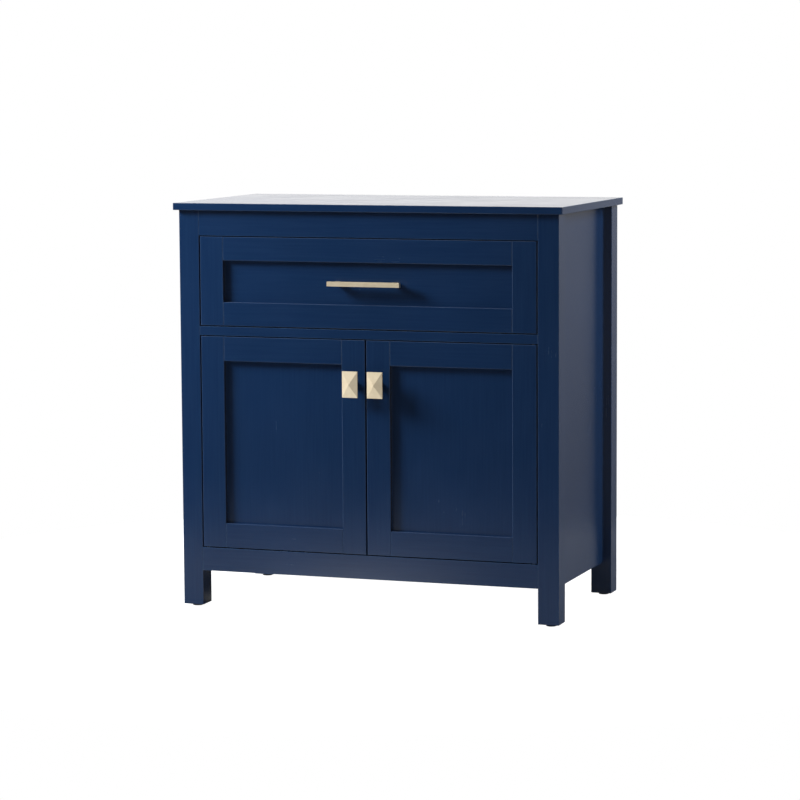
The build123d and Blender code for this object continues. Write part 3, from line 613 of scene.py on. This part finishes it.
def ball_row(shape, x, z, middle_y):
    """A row of bearing balls in a steel cage, whose strip swells around each ball."""
    start = middle_y - BALL_PITCH * (BALLS_IN_ROW - 1) / 2
    for index in range(BALLS_IN_ROW):
        place = Matrix.Translation((x, start + index * BALL_PITCH, z))
        ball = bmesh.ops.create_uvsphere(
            shape,
            u_segments=BALL_SEGMENTS,
            v_segments=BALL_BANDS,
            radius=BALL_RADIUS,
            matrix=place,
        )
        for vertex in ball["verts"]:
            for face in vertex.link_faces:
                face.smooth = True
    previous = None
    for step in range(BALLS_IN_ROW * CAGE_STEPS + 1):
        along = step / CAGE_STEPS
        y = start + (along - 0.5) * BALL_PITCH
        swell = 0.5 - 0.5 * math.cos(2 * math.pi * along)
        half = CAGE_NARROW + (CAGE_WIDE - CAGE_NARROW) * swell
        ring = [
            shape.verts.new((x + across * half, y, z + up * CAGE_THICK / 2))
            for across, up in CAGE_CORNERS
        ]
        if previous:
            wall(shape, previous, ring)
        else:
            shape.faces.new(ring)
        previous = ring
    shape.faces.new(previous)


def overlap_middle(first, second):
    """The middle of what two X ranges share."""
    return (max(first[0].x, second[0].x) + min(first[1].x, second[1].x)) / 2


def make_ball_cages(side):
    """The balls between one slide's three members, where those stay overlapped when it is out."""
    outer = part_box(f"{side}_slide_outer_member")
    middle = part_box(f"{side}_slide_middle_member")
    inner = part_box(f"{side}_slide_inner_member")
    quarter = (middle[1].y - middle[0].y) / 4
    shape = bmesh.new()
    rows = (
        (outer, middle, middle[1].y - quarter),
        (middle, inner, middle[0].y + quarter),
    )
    for around, within, middle_y in rows:
        x = overlap_middle(around, within)
        ball_row(shape, x, (around[1].z - SHEET + within[1].z) / 2, middle_y)
        ball_row(shape, x, (around[0].z + SHEET + within[0].z) / 2, middle_y)
    add_piece(f"{side}_slide_ball_cages", shape, "slide_middles", "zinc_steel")


HEAD_RADIUS = 0.0034
HEAD_RISE = 0.0017
HEAD_SIDES = 32
# the head's outline from its base to its flat top, in shares of its radius and its rise
HEAD_PROFILE = ((1.0, 0.0), (1.0, 0.35), (0.94, 0.70), (0.78, 1.0))
RECESS_REACH = 0.0019
RECESS_HALF = 0.0004
RECESS_DEPTH = 0.0010


def cross_outline():
    """The twelve corners of a screw's cross recess, in order round it."""
    arm = (
        (RECESS_REACH, -RECESS_HALF),
        (RECESS_REACH, RECESS_HALF),
        (RECESS_HALF, RECESS_HALF),
    )
    turns = [Matrix.Rotation(quarter * math.pi / 2, 2) for quarter in range(4)]
    return [turn @ Vector(corner) for turn in turns for corner in arm]


def circle_outline(radius):
    """Points round a circle, in order."""
    angles = [2 * math.pi * index / HEAD_SIDES for index in range(HEAD_SIDES)]
    return [Vector((radius * math.cos(angle), radius * math.sin(angle))) for angle in angles]


def ring_at(shape, place, outline, rise):
    """Vertices round an outline that is lifted by a rise and then put in its place."""
    return [shape.verts.new(place @ Vector((*corner, rise))) for corner in outline]


def loop_edges(shape, ring):
    """The edges that close a ring of vertices."""
    edges = []
    for index, vertex in enumerate(ring):
        pair = (vertex, ring[(index + 1) % len(ring)])
        edges.append(shape.edges.get(pair) or shape.edges.new(pair))
    return edges


def screw_head(shape, place):
    """A pan head with a cross recess, standing on a surface; place turns +Z to its outside."""
    rings = [
        ring_at(shape, place, circle_outline(HEAD_RADIUS * across), HEAD_RISE * up)
        for across, up in HEAD_PROFILE
    ]
    shape.faces.new(rings[0])
    for lower, upper in zip(rings, rings[1:]):
        wall(shape, lower, upper)
    mouth = ring_at(shape, place, cross_outline(), HEAD_RISE)
    bed = ring_at(shape, place, cross_outline(), HEAD_RISE - RECESS_DEPTH)
    wall(shape, mouth, bed)
    shape.faces.new(bed)
    brim = loop_edges(shape, rings[-1]) + loop_edges(shape, mouth)
    bmesh.ops.triangle_fill(shape, use_beauty=True, edges=brim)


# where the screws are, in shares of the member's length: clear of its slots
SLIDE_SCREWS = (0.26, 0.50, 0.74)


def make_slide_screws(side, outward):
    """The screws that hold a slide's inner member to the drawer box."""
    low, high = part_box(f"{side}_slide_inner_member")
    web = low.x + SHEET if outward > 0 else high.x - SHEET
    level = (low.z + high.z) / 2
    turned = Matrix.Rotation(outward * math.pi / 2, 4, "Y")
    shape = bmesh.new()
    for share in SLIDE_SCREWS:
        y = low.y + share * (high.y - low.y)
        screw_head(shape, Matrix.Translation((web, y, level)) @ turned)
    add_piece(f"{side}_slide_screws", shape, "drawer", "zinc_steel")


CATCH_LENGTH = 0.040
POLE_LENGTH = 0.032
POLE_THICK = 0.0012
POLE_DEPTH = 0.006
POLE_PROUD = 0.00015
POLE_SPACING = 0.0046


def pole_plate(shape, x, z, face_y):
    """A thin steel plate with chamfered front corners, let into a catch's face."""
    half = POLE_LENGTH / 2
    corner = POLE_THICK
    front = face_y - POLE_PROUD
    outline = (
        (x - half, face_y + POLE_DEPTH),
        (x + half, face_y + POLE_DEPTH),
        (x + half, front + corner),
        (x + half - corner, front),
        (x - half + corner, front),
        (x - half, front + corner),
    )
    lower = [shape.verts.new((u, v, z - POLE_THICK / 2)) for u, v in outline]
    upper = [shape.verts.new((u, v, z + POLE_THICK / 2)) for u, v in outline]
    wall(shape, lower, upper)
    shape.faces.new(lower)
    shape.faces.new(upper)


def make_catch_poles():
    """Two pole plates in the face of each magnetic catch."""
    low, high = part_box("magnetic_catches")
    level = (low.z + high.z) / 2
    shape = bmesh.new()
    for x in (low.x + CATCH_LENGTH / 2, high.x - CATCH_LENGTH / 2):
        for rise in (-POLE_SPACING / 2, POLE_SPACING / 2):
            pole_plate(shape, x, level + rise, low.y)
    add_piece("catch_pole_plates", shape, "carcass", "zinc_steel")


bpy.context.scene.view_settings.view_transform = "Standard"
make_camera()
make_world()
make_lights()
make_floor()
dress_nodes()
for side, outward in (("left", -1), ("right", 1)):
    make_ball_cages(side)
    make_slide_screws(side, outward)
make_catch_poles()
